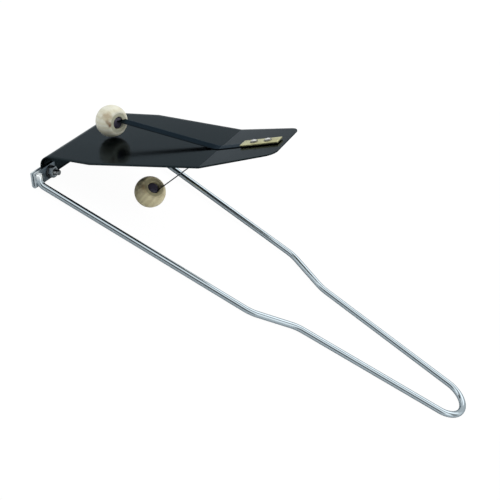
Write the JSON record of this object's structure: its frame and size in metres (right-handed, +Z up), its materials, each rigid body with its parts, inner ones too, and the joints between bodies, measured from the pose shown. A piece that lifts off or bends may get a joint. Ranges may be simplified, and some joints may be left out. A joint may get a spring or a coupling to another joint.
{
  "type": "flexatone",
  "caption": "Flexatone: a springy black steel sheet in a bent chromed rod frame, struck by wooden beads on flat springs when it is shaken.",
  "frame": {"origin": "middle of the part's extent in X and Y, at the height of the surface that it rests on", "axes": "+X from the head to the loop of the handle, +Y across to the far arm, +Z up"},
  "size_m": [0.3306, 0.116, 0.1023],
  "materials": {
    "chrome_rod": "bright chromed steel rod",
    "plated_clamp": "dull plated sheet steel",
    "black_bolt": "blackened steel thread",
    "black_washer": "black",
    "dark_nut": "dull plated steel",
    "black_sheet": "glossy blued black spring steel",
    "black_spring": "glossy black spring steel",
    "brass_plate": "pale finely brushed brass",
    "bright_screw": "bright plated steel",
    "pale_wood": "pale turned wood, clear satin lacquer",
    "olive_wood": "turned wood, clear satin lacquer",
    "plug": "purple black stained plug"
  },
  "bodies": {
    "frame": {"handle_frame": "chrome_rod", "near_clamp": "plated_clamp", "far_clamp": "plated_clamp", "near_clamp_bolt": "black_bolt", "far_clamp_bolt": "black_bolt", "near_clamp_washer": "black_washer", "far_clamp_washer": "black_washer", "near_clamp_nut": "dark_nut", "far_clamp_nut": "dark_nut", "sheet_root": "black_sheet"},
    "sheet": {"sheet_tongue": "black_sheet", "upper_spring_root": "black_spring", "lower_spring_root": "black_spring", "top_plate": "brass_plate", "bottom_plate": "brass_plate", "front_plate_screw": "bright_screw", "rear_plate_screw": "bright_screw", "front_plate_nut": "bright_screw", "rear_plate_nut": "bright_screw"},
    "upper_clapper": {"upper_spring_arm": "black_spring", "upper_bead": "pale_wood", "upper_bead_plug": "plug"},
    "lower_clapper": {"lower_spring_arm": "black_spring", "lower_bead": "olive_wood", "lower_bead_plug": "plug"}
  },
  "joints": [
    {"name": "sheet_flex", "type": "hinge", "parent": "frame", "child": "sheet", "pos_m": [-0.15583, 0, 0.02278], "axis": [0, 1, 0], "range_deg": [-3, 8], "stiffness_Nm_per_rad": 18, "springref_deg": -0.18},
    {"name": "upper_swing", "type": "hinge", "parent": "sheet", "child": "upper_clapper", "pos_m": [-0.0726, -0.0008, 0.06961], "axis": [0, 1, 0], "range_deg": [-0.3, 25], "stiffness_Nm_per_rad": 0.5, "springref_deg": 0.34},
    {"name": "lower_swing", "type": "hinge", "parent": "sheet", "child": "lower_clapper", "pos_m": [-0.07351, -0.0008, 0.06621], "axis": [0, 1, 0], "range_deg": [-8, 26], "stiffness_Nm_per_rad": 0.5, "springref_deg": 0.13}
  ]
}
